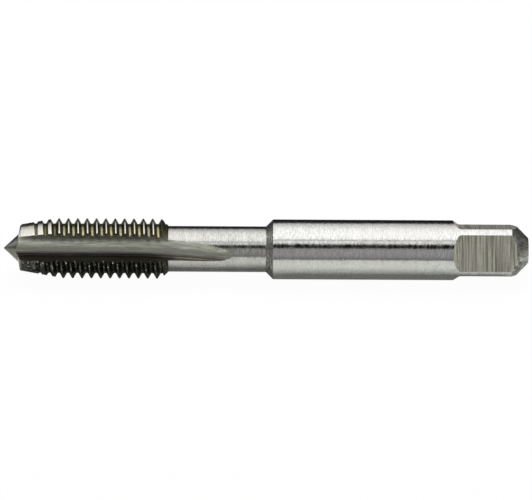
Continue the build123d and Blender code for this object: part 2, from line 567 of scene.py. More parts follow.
def front_rows(sizes, turning, flute, seam):
    """Places of the rows along the axis, from the point to the seam on the shank.

    Along the thread they lie in the middle of even parts of the pitch. Where they crowd together,
    their distance from the dense end is the stretch * share of the rows ** crowding.
    """
    thread, neck_end = sizes.tap_thread, sizes.tap_shank.neck_end
    mouth = np.interp(sizes.tap_flute.web / 2, turning.outline.imag[:2], turning.outline.real[:2])
    step = thread.pitch / sizes.tap_mesh.rows_per_pitch
    first = math.floor((turning.corner_end - thread.first_groove) / step) + 2
    last = math.floor((thread.end - thread.first_groove) / step)
    run_out = 1 - (1 - np.linspace(0, 1, RUN_OUT_ROWS + 1)) ** RUN_OUT_CROWDING
    return np.concatenate([
        np.linspace(0, mouth, POINT_ROWS + 1),
        mouth + (turning.centre_end - mouth) * parted(0, 1, CENTRE_ROWS) ** CENTRE_CROWDING,
        parted(turning.centre_end, turning.face_end, FACE_ROWS),
        parted(turning.face_end, turning.corner_end, CORNER_ROWS),
        thread.first_groove + (np.arange(first, last) + 0.5) * step,
        thread.end + (flute.end - thread.end) * run_out,
        parted(flute.end, neck_end - EDGE_MARGIN, NECK_ROWS),
        turning.rows(neck_end - EDGE_MARGIN, turning.shank_start + EDGE_MARGIN),
        np.linspace(turning.shank_start + EDGE_MARGIN, seam, SHANK_ROWS + 1),
    ])


def zones_of_front(sizes, turning, rows, columns):
    """Zones of the front's faces: the point, thread, neck, shoulder and shank, and the flutes in them."""
    ends = [turning.corner_end, sizes.tap_thread.end, sizes.tap_shank.neck_end, turning.shank_start]
    stretches = np.array([POINTED, THREADED, NECKED, TURNED, GROUND])
    zone = stretches[np.searchsorted(ends, (rows[1:] + rows[:-1]) / 2)]
    zones = np.repeat(zone[:, None], columns, axis=1)
    zones[:, np.arange(columns) % (columns // FLUTES) >= sizes.tap_mesh.land_columns] = FLUTED
    return zones


def flute_places(mesh):
    """Places of a flute's columns on its section: its round side, its corner, then its cutting face."""
    round_columns = mesh.flute_columns // 2
    face_columns = mesh.flute_columns - round_columns - FLUTE_CORNER_COLUMNS
    parts = [round_columns, FLUTE_CORNER_COLUMNS, face_columns]
    return np.concatenate([start + parted(0, 1, count) for start, count in enumerate(parts)])


def fluted_end(sizes, turning, seam, seam_angle):
    """The front of the tap: three lands with a flute after each, from the point to the seam on the shank.

    Rows run round the axis and lean with the thread's helix over each land. A land's columns divide
    the angle between its two rims evenly, and its radius is worked out there. A flute's columns keep
    their places on the flute's section and are held within its two rims, so the rims are exact. On the
    shank the rows are eased round by part of a column, so that their points meet the square end's.
    """
    mesh, pitch = sizes.tap_mesh, sizes.tap_thread.pitch
    lands = Lands(sizes, turning)
    flute = Flute(sizes, lands)
    rows = front_rows(sizes, turning, flute, seam)
    threaded = np.minimum(rows - turning.corner_end, sizes.tap_thread.end - rows)
    row, lean = rows[:, None], np.clip(threaded / (LEAN_SHARE * pitch), 0, 1)[:, None]

    # The rims: the cutting edge ahead of each land and the heel behind it
    middles = THIRD_TURN * np.arange(FLUTES)[None, :]
    edge_place = flute.rim(row, lean, middles, 1)
    heel_place = flute.rim(row, lean, middles, -1)
    edge_point = flute.leaning(edge_place, row, lean, THIRD_TURN / 2)[1]
    heel_point = flute.leaning(heel_place, row, lean, -THIRD_TURN / 2)[1]
    heel_point = np.where(edge_place - heel_place < CLOSED, edge_point, heel_point)
    edge_angle = np.angle(edge_point) + middles
    next_heel = np.roll(np.angle(heel_point) + middles, -1, axis=1)
    next_heel[:, -1] += 2 * math.pi

    # The lands
    share = np.linspace(0, 1, mesh.land_columns + 1)
    angle = edge_angle[:, :, None] + (next_heel - edge_angle)[:, :, None] * share
    behind = angle - middles[:, :, None]
    along = row[:, :, None] + lean[:, :, None] * pitch * (behind - THIRD_TURN / 2) / (2 * math.pi)
    land = lands.radius(along, behind, angle) * np.exp(1j * angle)

    # The flute behind each land, whose columns start where the land ends
    from_heel, to_edge = np.roll(heel_place, -1, 1)[:, :, None], np.roll(edge_place, -1, 1)[:, :, None]
    held = np.clip(flute_places(mesh), from_heel, to_edge)
    part = (held - from_heel) / np.maximum(to_edge - from_heel, NARROWEST)
    start, end = along[:, :, -1:], np.roll(along[:, :, :1], -1, axis=1)
    groove_along = start + (end - start) * part
    turned = np.exp(1j * np.roll(middles, -1, 1))[:, :, None]
    groove = (flute.point(held) + flute.travel(groove_along)) * turned
    at_heel, at_edge = held <= from_heel, held >= to_edge
    first_land = np.roll(land[:, :, :1], -1, axis=1)
    groove = np.where(at_heel, land[:, :, -1:], np.where(at_edge, first_land, groove))
    groove_along = np.where(at_heel, start, np.where(at_edge, end, groove_along))

    section = np.concatenate([land, groove], axis=2).reshape(len(rows), -1)
    places_along = np.concatenate([along, groove_along], axis=2).reshape(len(rows), -1)
    cut_depth = np.concatenate([lands.cut_depth(along, behind, angle), 0 * groove_along], axis=2)
    across_flute = np.concatenate([0 * land.real, held / SECTION_END], axis=2)
    shares = np.stack([cut_depth, across_flute], axis=-1).reshape(*section.shape, 2)

    # The turn that brings the columns to those of the square end
    spacing = THIRD_TURN / mesh.land_columns
    shift = (seam_angle - edge_angle[-1, 0] + spacing / 2) % spacing - spacing / 2
    ease = np.clip((rows - turning.shank_start) / (seam - turning.shank_start), 0, 1)
    section = section * np.exp(1j * shift * ease)[:, None]
    return section, places_along, zones_of_front(sizes, turning, rows, section.shape[1]), shares


def back_rows(sizes, turning, ramp, seam):
    """Places of the rows along the axis, from the seam on the shank to the end face.

    The ends of a flat are curves, and their rows lie where those curves cross even parts of the angle
    between the flat's middle and its edge.
    """
    shank, flat = sizes.tap_shank, sizes.tap_square.across_flats / 2
    bar, bevel_start = shank.diameter / 2, turning.shank_end - EDGE_MARGIN
    spread = np.cos(np.linspace(0, math.acos(flat / bar), FLAT_END_ROWS + 1))
    bevel = turning.outline[turning.outline.real > bevel_start]
    ramp_rows = np.interp(bar * spread, ramp.imag[::-1], ramp.real[::-1])
    rows = np.unique(np.concatenate([
        np.linspace(seam, ramp_rows[0], SEAM_ROWS + 1),
        ramp_rows,
        ramp.real[1:-1],
        np.linspace(ramp.real[-2], bevel_start, FLAT_ROWS + 1),
        np.interp(flat / spread, bevel.imag[::-1], bevel.real[::-1]),
        turning.rows(bevel_start, shank.length),
        [shank.length],
    ]))
    return rows[np.concatenate([[True], np.diff(rows) > WELD])]


def square_end(sizes, turning, seam):
    """The back of the tap: four flats with a rounded corner after each, from the seam to the end face.

    A flat lies at distance d from the axis, and the round part has radius R there, so the flat is
    sqrt(R^2 - d^2) wide to each side. Its columns keep their places across and are held within that
    width, and the corner's columns divide the angle between two flats evenly.
    """
    mesh, square, shank = sizes.tap_mesh, sizes.tap_square, sizes.tap_shank
    flat, bar = square.across_flats / 2, shank.diameter / 2
    foot, clear = shank.length - square.length, bar + FLAT_REACH
    run_out = foot - (clear - flat) / math.tan(square.ramp_angle)
    ramp = np.array([run_out + 1j * clear, foot + 1j * flat, shank.length + 1j * flat])
    ramp = rounded(ramp, [square.ramp_radius], RAMP_POINTS)
    rows = back_rows(sizes, turning, ramp, seam)
    radius = turning.radius(rows)[:, None, None]
    distance = np.minimum(np.interp(rows, ramp.real, ramp.imag)[:, None, None], radius)
    half = np.sqrt(np.maximum(radius**2 - distance**2, 0))
    half = np.where(half < WELD, 0, half)
    reach = np.arctan2(half, distance)

    first = math.atan2(SQUARE_NORMAL.y, -SQUARE_NORMAL.z)
    normals = (first + QUARTER_TURN * np.arange(SQUARE_SIDES))[None, :, None]
    corner_columns = mesh.land_columns * FLUTES // SQUARE_SIDES
    share = np.linspace(0, 1, corner_columns + 1)
    corner = radius * np.exp(1j * (normals + reach + (QUARTER_TURN - 2 * reach) * share))
    width = math.sqrt(bar**2 - flat**2)
    held = np.clip(np.linspace(-width, width, mesh.flat_columns + 2), -half, half)
    face = (distance + 1j * held) * np.exp(1j * (normals + QUARTER_TURN))
    section = np.concatenate([corner, face], axis=2).reshape(len(rows), -1)
    places_along = np.repeat(rows[:, None], section.shape[1], axis=1)

    zone = np.where((rows[1:] + rows[:-1]) / 2 > turning.shank_end, TURNED, GROUND)
    zones = np.repeat(zone[:, None], section.shape[1], axis=1)
    zones[:, np.arange(section.shape[1]) % (section.shape[1] // SQUARE_SIDES) >= corner_columns] = FLATTED
    return section, places_along, zones, first


def grid_faces(count_along, count_round, offset):
    """Four corners of each face of a grid that closes on itself round the axis."""
    row, column = np.meshgrid(np.arange(count_along - 1), np.arange(count_round), indexing="ij")
    beside = (column + 1) % count_round
    corners = [row * count_round + column, row * count_round + beside]
    corners += [(row + 1) * count_round + beside, (row + 1) * count_round + column]
    return np.stack(corners, axis=-1).reshape(-1, 4) + offset


def mesh_of(places, faces, zones, shares):
    """A mesh from whole arrays: points, the corners and zone of each face, and the points' own numbers."""
    mesh = bpy.data.meshes.new("ground_tap")
    mesh.vertices.add(len(places))
    mesh.vertices.foreach_set("co", places.ravel())
    mesh.loops.add(faces.size)
    mesh.loops.foreach_set("vertex_index", faces.ravel().astype(np.int32))
    mesh.polygons.add(len(faces))
    mesh.polygons.foreach_set("loop_start", np.arange(0, faces.size, faces.shape[1], dtype=np.int32))
    mesh.polygons.foreach_set("material_index", zones.astype(np.int32))
    mesh.update(calc_edges=True)
    for name, share in zip((CUT_DEPTH, ACROSS_FLUTE), shares.T):
        values = np.zeros(len(places), dtype=np.float32)
        values[:len(share)] = share
        mesh.attributes.new(name, "FLOAT", "POINT").data.foreach_set("value", values)
    return mesh


def weld(mesh):
    """Makes points that lie together one, and raises an error where the surface is still open."""
    welded = bmesh.new()
    welded.from_mesh(mesh)
    bmesh.ops.remove_doubles(welded, verts=welded.verts, dist=WELD)
    loose = [edge for edge in welded.edges if len(edge.link_faces) != 2]
    if loose:
        raise RuntimeError(f"the tap's surface is open at {len(loose)} edges, at {loose[0].verts[0].co}")
    welded.to_mesh(mesh)
    welded.free()


def tap_mesh(sizes):
    """One closed mesh: the two ends welded on the shank, each closed at its tip by a row on the axis.

    A point is x = distance from the tap's middle, and y and z are the section's point, turned so that
    the real axis of the section, in the middle of the first flute, faces down.
    """
    turning = Turning(sizes)
    seam = (turning.shank_start + sizes.tap_shank.length - sizes.tap_square.length) / 2
    back, back_along, back_zones, seam_angle = square_end(sizes, turning, seam)
    front, front_along, front_zones, shares = fluted_end(sizes, turning, seam, seam_angle)
    front = np.concatenate([front[:1] * 0, front])
    front_along = np.concatenate([front_along[:1] * 0, front_along])
    front_zones = np.concatenate([front_zones[:1] * 0 + POINTED, front_zones])
    back = np.concatenate([back, back[-1:] * 0])
    back_along = np.concatenate([back_along, back_along[-1:]])
    back_zones = np.concatenate([back_zones, back_zones[-1:] * 0 + TURNED])

    section = np.concatenate([front.ravel(), back.ravel()])
    along = np.concatenate([front_along.ravel(), back_along.ravel()])
    places = np.stack([along - sizes.tap_shank.length / 2, section.imag, -section.real], axis=-1)
    faces = np.concatenate([grid_faces(*front.shape, 0), grid_faces(*back.shape, front.size)])
    zones = np.concatenate([front_zones.ravel(), back_zones.ravel()])
    mesh = mesh_of(places, faces, zones, np.concatenate([shares[:1], shares]).reshape(-1, 2))
    weld(mesh)
    mesh.shade_smooth()
    mesh.set_sharp_from_angle(angle=SHARP_ANGLE)
    return mesh


# A mix node's two inputs and its output by number, because its sockets share their names
MIX_SOCKETS = {"FLOAT": (2, 3, 0), "VECTOR": (4, 5, 1), "RGBA": (6, 7, 2)}


class Nodes:
    """Short ways to add and join shader nodes in one tree."""

    def __init__(self, tree):
        self.tree = tree

    def add(self, kind, inputs=(), **settings):
        """A node of a kind, with its properties set and its inputs given a value or joined to a socket."""
        node = self.tree.nodes.new(kind)
        for name, value in settings.items():
            setattr(node, name, value)
        for name, value in dict(inputs).items():
            self.give(node.inputs[name], value)
        return node

    def add_group(self, tree, **inputs):
        """The outputs of a node group whose inputs are given values or joined to sockets."""
        named = {name.replace("_", " "): value for name, value in inputs.items()}
        return self.add("ShaderNodeGroup", named, node_tree=tree).outputs

    def give(self, socket, value):
        """Sets a socket to a value, or joins another socket to it."""
        if isinstance(value, bpy.types.NodeSocket):
            self.tree.links.new(value, socket)
        else:
            socket.default_value = value

    def place(self):
        """Place in the object's own coordinates."""
        return self.add("ShaderNodeTexCoord").outputs["Object"]

    def parts(self, vector):
        """The three parts of a vector."""
        return self.add("ShaderNodeSeparateXYZ", {0: vector}).outputs

    def attribute(self, name):
        """A number that the mesh holds at each point."""
        return self.add("ShaderNodeAttribute", attribute_name=name).outputs["Fac"]

    def noise(self, place, scale, detail):
        """Smooth noise, by its grains to a unit of the place and how much finer noise lies over it."""
        return self.add("ShaderNodeTexNoise", {"Vector": place, "Scale": scale, "Detail": detail}).outputs[0]

    def vector(self, operation, *values, output="Vector", **named):
        """A vector, or a number, worked out from vectors."""
        inputs = {**dict(enumerate(values)), **named}
        return self.add("ShaderNodeVectorMath", inputs, operation=operation).outputs[output]

    def math(self, operation, *values):
        """A number worked out from one, two or three numbers."""
        return self.add("ShaderNodeMath", enumerate(values), operation=operation).outputs[0]

    def spread(self, value, low, high, to_low=0.0, to_high=1.0, smooth=False):
        """A number moved from one range to another and held within it."""
        kind = "SMOOTHSTEP" if smooth else "LINEAR"
        inputs = {"Value": value, "From Min": low, "From Max": high, "To Min": to_low, "To Max": to_high}
        return self.add("ShaderNodeMapRange", inputs, interpolation_type=kind, clamp=True).outputs["Result"]

    def mix(self, share, first, second, kind="FLOAT"):
        """A number, a vector or a colour between two."""
        one, other, mixed = MIX_SOCKETS[kind]
        inputs = {0: share, one: first, other: second}
        return self.add("ShaderNodeMix", inputs, data_type=kind).outputs[mixed]

    def levels(self, value, stops, black):
        """A grey read off a row of stops, each a place and a level, straight between them."""
        low, high = stops[0][0], stops[-1][0]
        top = max(level for _, level in stops if level != "black")
        node = self.add("ShaderNodeFloatCurve", {"Factor": 1.0, "Value": self.spread(value, low, high)})
        points = node.mapping.curves[0].points
        while len(points) < len(stops):
            points.new(0.5, 0.5)
        for point, (place, level) in zip(points, stops):
            level = black if level == "black" else level
            point.location = ((place - low) / (high - low), level / top)
            point.handle_type = "VECTOR"
        node.mapping.update()
        return self.math("MULTIPLY", node.outputs[0], top)


def empty_material(name):
    """A material with its output node alone: the material, its nodes and the socket for its surface."""
    material = bpy.data.materials.new(name)
    material.use_nodes = True
    material.node_tree.nodes.clear()
    nodes = Nodes(material.node_tree)
    return material, nodes, nodes.add("ShaderNodeOutputMaterial").inputs["Surface"]


WHITE = (1, 1, 1, 1)
ACROSS_AXIS = (0, 1, 1)
# A turned surface's marks: their circle, and how much of the radius is added to the distance along the axis
TURNED_RADIUS = 4 * MM
RADIUS_SHARE = 0.6
# Marks are read from a band of the noise: its middle, half its width with no contrast, and how much
# of that a full contrast takes away
BAND_MIDDLE = 0.5
WIDEST_BAND = 0.4
BAND_LOSS = 0.35
# How much finer noise lies over each noise, and how far the coarse marks' noise is moved from the fine one's
FINE_DETAIL, COARSE_DETAIL, CLOUD_DETAIL, SHADE_DETAIL, GLINT_DETAIL = 3.0, 2.0, 3.0, 4.0, 1.0
COARSE_SHIFT = (17.3, 5.1, 9.7)
# Edges between two finishes: across the clouds of tint, down the thread and across a flute
CLOUD_EDGES = (0.42, 0.68)
CREST_EDGES = (0.02, 0.1)
ROOT_EDGES = (0.93, 0.985)
HEEL_EDGES = (0.06, 0.17)
FACE_EDGES = (0.285, 0.34)
# The painted shade's edge: grains to a metre, how far they move it, and the range of cosines on which it
# fades
SHADE_GRAIN = 900.0
SHADE_WANDER = 0.1
SHADE_EDGES = (0.02, 0.12)
# Painted glints in the painted shade: grains to a metre, and how much noise makes a glint
GLINT_GRAIN = 3500.0
GLINT_EDGES = (0.6, 0.64)
# How far the crests inside the painted shade are lit towards a painted glint, as a painted highlight
CREST_HIGHLIGHT = 0.12
# The square's flats are dull enough to scatter part of the light
FLAT_METALLIC = 0.7

# Marks to a metre along, across and up, fine and coarse; the depth is in the marks' own unit
Marks = namedtuple("Marks", "fine coarse contrast coarse_share depth turned", defaults=[1.0, False])
SHANK_MARKS = Marks((5600, 2000, 2000), (1100, 35, 35), 0.9, 0.2, 3.2)
NECK_MARKS = Marks((5600, 2000, 2000), (900, 60, 60), 0.85, 0.25, 2.8)
THREAD_MARKS = Marks((6000, 2200, 2200), (2600, 1500, 1500), 0.8, 0.4, 2.0)
FLUTE_MARKS = Marks((350, 3800, 3800), (90, 1300, 1300), 0.7, 0.45)
TURNED_MARKS = Marks((5600, 900, 900), (5200, 5200, 5200), 1.0, 0.6, 3.0, True)
FLAT_MARKS = Marks((7600, 160, 160), (5400, 120, 120), 1.0, 0.3)
POINT_MARKS = Marks((5000, 450, 450), (3800, 3800, 3800), 0.7, 0.4, 1.0, True)

# Colours between and in the marks, a tint in clouds, roughness between and in the marks, size of the clouds
Steel = namedtuple("Steel", "bright dull tint roughness cloud", defaults=[2 * MM])
SHANK = Steel((0.67, 0.675, 0.66), (0.51, 0.515, 0.495), (0.60, 0.57, 0.55), (0.06, 0.2), 12 * MM)
NECK = Steel((0.57, 0.57, 0.55), (0.41, 0.41, 0.385), (0.52, 0.48, 0.455), (0.12, 0.25), 5 * MM)
CREST = Steel((0.66, 0.66, 0.63), (0.5, 0.5, 0.46), (0.5, 0.47, 0.38), (0.12, 0.3))
# Flanks painted dark, and roots painted darker than the crests with a straw tone, as shade in the grooves
FLANK_SHADE = Steel((0.16, 0.155, 0.095), (0.08, 0.077, 0.045), (0.18, 0.155, 0.06), (0.25, 0.42))
ROOT_STRAW_AND_SHADE = Steel((0.46, 0.44, 0.28), (0.22, 0.205, 0.11), (0.40, 0.33, 0.15), (0.2, 0.35))
# Painted shade on the lower side, and the painted glint that lights spots and crests within it
PAINTED_SHADE = Steel((0.05, 0.048, 0.039), (0.009, 0.0085, 0.007), (0.033, 0.027, 0.023), (0.34, 0.5))
PAINTED_GLINT = Steel((0.6, 0.59, 0.56), (0.05, 0.048, 0.04), (0.1, 0.09, 0.08), (0.2, 0.4))
FLUTE = Steel((0.54, 0.55, 0.47), (0.25, 0.255, 0.215), (0.40, 0.375, 0.34), (0.22, 0.38), 3 * MM)
# The heel is painted pale as a highlight, and the cutting face painted dark as shade
FLUTE_HEEL_HIGHLIGHT = Steel((0.85, 0.86, 0.75), (0.48, 0.485, 0.415), (0.64, 0.6, 0.56), (0.22, 0.38), 3 * MM)
CUTTING_FACE_SHADE = Steel((0.23, 0.22, 0.17), (0.08, 0.075, 0.058), (0.18, 0.15, 0.13), (0.25, 0.42))
TURNED_END = Steel((0.5, 0.5, 0.465), (0.07, 0.07, 0.06), (0.2, 0.2, 0.18), (0.28, 0.5))
SQUARE_FLAT = Steel((0.80, 0.79, 0.66), (0.23, 0.217, 0.165), (0.5, 0.455, 0.42), (0.2, 0.36), 1.6 * MM)
POINT = Steel((0.54, 0.54, 0.5), (0.28, 0.28, 0.25), (0.36, 0.36, 0.31), (0.22, 0.4))
# The point's painted shade on the lower side
POINT_PAINTED_SHADE = Steel((0.26, 0.265, 0.23), (0.12, 0.12, 0.1), (0.17, 0.175, 0.14), (0.22, 0.4))

NUMBER, VECTOR, COLOUR = "NodeSocketFloat", "NodeSocketVector", "NodeSocketColor"


def group(name, inputs, outputs):
    """An empty node group: its tree and nodes, the sockets it is given and the ones it puts out.

    Each input is a name, a kind and a value, and each output a name and a kind.
    """
    tree = bpy.data.node_groups.new(name, "ShaderNodeTree")
    for label, kind, value in inputs:
        socket = tree.interface.new_socket(label, in_out="INPUT", socket_type=kind)
        socket.default_value = value
    for label, kind in outputs:
        tree.interface.new_socket(label, in_out="OUTPUT", socket_type=kind)
    nodes = Nodes(tree)
    return tree, nodes, nodes.add("NodeGroupInput").outputs, nodes.add("NodeGroupOutput").inputs


def marks_group():
    """Marks of a tool or a wheel: noise drawn out along one direction, fine and coarse, and a height.

    A stretch is how many marks there are to a metre in each direction, so a small number along one
    axis makes long marks along it. Where turned is 1, the marks run round the axis. The first
    coordinate is then the distance along the axis plus a share of the radius, which changes along a
    cylinder, a cone and a flat end alike, and the others are a circle of a fixed radius. Dullness is 0
    between the marks and 1 in the deepest ones.
    """
    tree, nodes, given, output = group(
        "tool_marks",
        [("Turned", NUMBER, 0.0), ("Fine stretch", VECTOR, (4000, 400, 400)),
         ("Coarse stretch", VECTOR, (1000, 100, 100)), ("Contrast", NUMBER, 0.7),
         ("Coarse share", NUMBER, 0.4)],
        [("Dullness", NUMBER), ("Height", NUMBER)],
    )
    place = nodes.place()
    across = nodes.vector("MULTIPLY", place, ACROSS_AXIS)
    circle = nodes.vector("SCALE", nodes.vector("NORMALIZE", across), Scale=TURNED_RADIUS)
    radius = nodes.vector("LENGTH", across, output="Value")
    along = nodes.math("MULTIPLY_ADD", radius, RADIUS_SHARE, nodes.parts(place)["X"])
    turned = nodes.vector("ADD", nodes.add("ShaderNodeCombineXYZ", {0: along}).outputs[0], circle)
    place = nodes.mix(given["Turned"], place, turned, "VECTOR")
    half = nodes.math("MULTIPLY_ADD", given["Contrast"], -BAND_LOSS, WIDEST_BAND)
    low, high = nodes.math("SUBTRACT", BAND_MIDDLE, half), nodes.math("ADD", BAND_MIDDLE, half)
    marks = []
    for label, detail, shift in (("Fine", FINE_DETAIL, (0, 0, 0)), ("Coarse", COARSE_DETAIL, COARSE_SHIFT)):
        drawn = nodes.vector("MULTIPLY_ADD", place, given[f"{label} stretch"], shift)
        marks.append(nodes.spread(nodes.noise(drawn, 1.0, detail), low, high))
    nodes.give(output["Dullness"], nodes.mix(given["Coarse share"], *marks))
    nodes.give(output["Height"], nodes.math("ADD", *marks))
    return tree


def steel_group():
    """Colour and roughness of bare steel between a bright and a dull state, with a faint tint in clouds."""
    tree, nodes, given, output = group(
        "bare_steel",
        [("Dullness", NUMBER, 0.5), ("Bright", COLOUR, (0.6, 0.6, 0.6, 1)),
         ("Dull", COLOUR, (0.4, 0.4, 0.4, 1)), ("Tint", COLOUR, (0.5, 0.5, 0.4, 1)),
         ("Tint amount", NUMBER, 0.5), ("Cloud size", NUMBER, 2 * MM),
         ("Bright roughness", NUMBER, 0.1), ("Dull roughness", NUMBER, 0.3)],
        [("Colour", COLOUR), ("Roughness", NUMBER)],
    )
    cloud = nodes.noise(nodes.place(), nodes.math("DIVIDE", 1.0, given["Cloud size"]), CLOUD_DETAIL)
    cloud = nodes.math("MULTIPLY", nodes.spread(cloud, *CLOUD_EDGES, smooth=True), given["Tint amount"])
    colour = nodes.mix(given["Dullness"], given["Bright"], given["Dull"], "RGBA")
    nodes.give(output["Colour"], nodes.mix(cloud, colour, given["Tint"], "RGBA"))
    roughness = nodes.mix(given["Dullness"], given["Bright roughness"], given["Dull roughness"])
    nodes.give(output["Roughness"], roughness)
    return tree


def shade_group():
    """Painted shade on one side of the tap, with a ragged edge, and small painted glints.

    The side is a direction square to the axis. The painted shade covers the metal whose own direction from
    the axis is near it, which is where the cosine between the two is above the nearness, and it ends in a
    ragged edge at a place along the axis. The painted glints are bright spots where a fine noise is high.
    """
    tree, nodes, given, output = group(
        "painted_shade_and_glints",
        [("Side", VECTOR, (0, 0, -1)), ("Nearness", NUMBER, 0.5),
         ("End", NUMBER, -12.5 * MM), ("Raggedness", NUMBER, 5 * MM)],
        [("Painted shade", NUMBER), ("Painted glints", NUMBER)],
    )
    place = nodes.place()
    radial = nodes.vector("NORMALIZE", nodes.vector("MULTIPLY", place, ACROSS_AXIS))
    near = nodes.vector("DOT_PRODUCT", radial, given["Side"], output="Value")
    ragged = nodes.noise(place, SHADE_GRAIN, SHADE_DETAIL)
    past = nodes.math("MULTIPLY_ADD", ragged, SHADE_WANDER, nodes.math("SUBTRACT", near, given["Nearness"]))
    sides = nodes.spread(past, *SHADE_EDGES, smooth=True)
    along = nodes.math("SUBTRACT", given["End"], nodes.parts(place)["X"])
    along = nodes.math("MULTIPLY_ADD", ragged, given["Raggedness"], along)
    ends = nodes.spread(along, 0.0, given["Raggedness"], smooth=True)
    nodes.give(output["Painted shade"], nodes.math("MULTIPLY", sides, ends))
    glints = nodes.noise(place, GLINT_GRAIN, GLINT_DETAIL)
    nodes.give(output["Painted glints"], nodes.spread(glints, *GLINT_EDGES))
    return tree


class Finishes:
    """The tap's materials. Each is bare steel with its own marks, drawn in the tap's own coordinates; some
    also carry painted shade, painted highlights and painted glints in their colour.

    A state is the colour and the roughness of a steel.
    """

    def __init__(self, sizes):
        self.settings = sizes.tap_finish
        self.middle = sizes.tap_shank.length / 2
        self.marks = marks_group()
        self.steel = steel_group()
        self.shade = shade_group()

    def start(self, name, marks, metallic=1.0):
        """A material, its nodes, its shader's inputs and how dull its marks make it at each place."""
        material, nodes, surface = empty_material(name)
        shader = nodes.add("ShaderNodeBsdfPrincipled", {"Metallic": metallic})
        nodes.give(surface, shader.outputs[0])
        drawn = nodes.add_group(
            self.marks, Turned=float(marks.turned), Fine_stretch=marks.fine,
            Coarse_stretch=marks.coarse, Contrast=marks.contrast, Coarse_share=marks.coarse_share)
        depth = marks.depth * self.settings.mark_depth
        bump = nodes.add("ShaderNodeBump", {"Height": drawn["Height"], "Strength": 1.0, "Distance": depth})
        nodes.give(shader.inputs["Normal"], bump.outputs[0])
        return material, nodes, shader.inputs, drawn["Dullness"]

    def states(self, nodes, dullness, *steels):
        """The state of each steel at the same dullness."""
        for steel in steels:
            outputs = nodes.add_group(
                self.steel, Dullness=dullness, Bright=(*steel.bright, 1), Dull=(*steel.dull, 1),
                Tint=(*steel.tint, 1), Cloud_size=steel.cloud, Bright_roughness=steel.roughness[0],
                Dull_roughness=steel.roughness[1])
            yield outputs["Colour"], outputs["Roughness"]

    def between(self, nodes, share, first, second):
        """A state between two."""
        return nodes.mix(share, first[0], second[0], "RGBA"), nodes.mix(share, first[1], second[1])

    def painted(self, nodes):
        """The painted shade and its painted glints, where the settings put them."""
        side = (0, -math.cos(self.settings.shade_middle), -math.sin(self.settings.shade_middle))
        return nodes.add_group(
            self.shade, Side=side, Nearness=math.cos(self.settings.shade_reach),
            End=self.settings.shade_end - self.middle)

    def finish(self, nodes, shader, state):
        """Gives a state to the shader."""
        nodes.give(shader["Base Color"], state[0])
        nodes.give(shader["Roughness"], state[1])

    def plain(self, name, marks, steel, metallic=1.0):
        """One steel with its marks."""
        material, nodes, shader, dullness = self.start(name, marks, metallic)
        self.finish(nodes, shader, *self.states(nodes, dullness, steel))
        return material

    def threaded(self):
        """Thread: bright crests, flanks and straw-toned roots painted darker as shade in the grooves, and
        painted shade on the lower land, with painted highlights on its crests and painted glints.
        """
        material, nodes, shader, dullness = self.start("threaded_steel", THREAD_MARKS)
        depth = nodes.attribute(CUT_DEPTH)
        crest, flank, root, shaded, glinting = self.states(nodes, dullness, CREST, FLANK_SHADE, ROOT_STRAW_AND_SHADE, PAINTED_SHADE, PAINTED_GLINT)
        # Flanks and roots painted darker than the crests, as shade in the grooves
        state = self.between(nodes, nodes.spread(depth, *ROOT_EDGES, smooth=True), flank, root)
        state = self.between(nodes, nodes.spread(depth, *CREST_EDGES, smooth=True), crest, state)
        # Painted shade on the lower side, with painted highlights on its crests and painted glints
        shade = self.painted(nodes)
        lit_crests = nodes.spread(depth, *CREST_EDGES, to_low=CREST_HIGHLIGHT, to_high=0.0)
        shaded = self.between(nodes, nodes.math("MAXIMUM", lit_crests, shade["Painted glints"]), shaded, glinting)
        self.finish(nodes, shader, self.between(nodes, shade["Painted shade"], state, shaded))
        return material

    def fluted(self):
        """Flutes: ground along the tap, greenish, with a painted highlight at the heel, and painted shade on
        the cutting face, darker on the lower side.
        """
        material, nodes, shader, dullness = self.start("flute_ground_steel", FLUTE_MARKS)
        across = nodes.attribute(ACROSS_FLUTE)
        round_side, heel, face, shaded = self.states(
            nodes, dullness, FLUTE, FLUTE_HEEL_HIGHLIGHT, CUTTING_FACE_SHADE, PAINTED_SHADE)
        # A painted highlight at the heel, and painted shade on the cutting face, darker still under the
        # painted shade of the lower side
        state = self.between(nodes, nodes.spread(across, *HEEL_EDGES, smooth=True), heel, round_side)
        face = self.between(nodes, self.painted(nodes)["Painted shade"], face, shaded)
        state = self.between(nodes, nodes.spread(across, *FACE_EDGES, smooth=True), state, face)
        self.finish(nodes, shader, state)
        return material

    def pointed(self):
        """Point and front face: turned, grey, and darker on the lower side with painted shade."""
        material, nodes, shader, dullness = self.start("point_turned_steel", POINT_MARKS)
        # Darker on the lower side: painted shade
        unshaded, shaded = self.states(nodes, dullness, POINT, POINT_PAINTED_SHADE)
        self.finish(nodes, shader, self.between(nodes, self.painted(nodes)["Painted shade"], unshaded, shaded))
        return material

    def by_zone(self):
        """The material of each zone."""
        return {
            GROUND: self.plain("shank_ground_steel", SHANK_MARKS, SHANK),
            NECKED: self.plain("neck_ground_steel", NECK_MARKS, NECK),
            THREADED: self.threaded(),
            FLUTED: self.fluted(),
            TURNED: self.plain("turned_steel", TURNED_MARKS, TURNED_END),
            FLATTED: self.plain("square_ground_steel", FLAT_MARKS, SQUARE_FLAT, metallic=FLAT_METALLIC),
            POINTED: self.pointed(),
        }


class TAP_OT_ground_tap(bpy.types.Operator):
    """Build the tap as one closed piece with its ground and turned finishes"""

    bl_idname = "machine_tap.ground_tap"
    bl_label = "Ground tap"

    def execute(self, context):
        mesh = tap_mesh(context.scene)
        piece = bpy.data.objects.new("ground_tap", mesh)
        context.scene.collection.objects.link(piece)
        for _, finish in sorted(Finishes(context.scene).by_zone().items()):
            mesh.materials.append(finish)
        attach(piece, "root")
        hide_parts("tap")
        return {"FINISHED"}


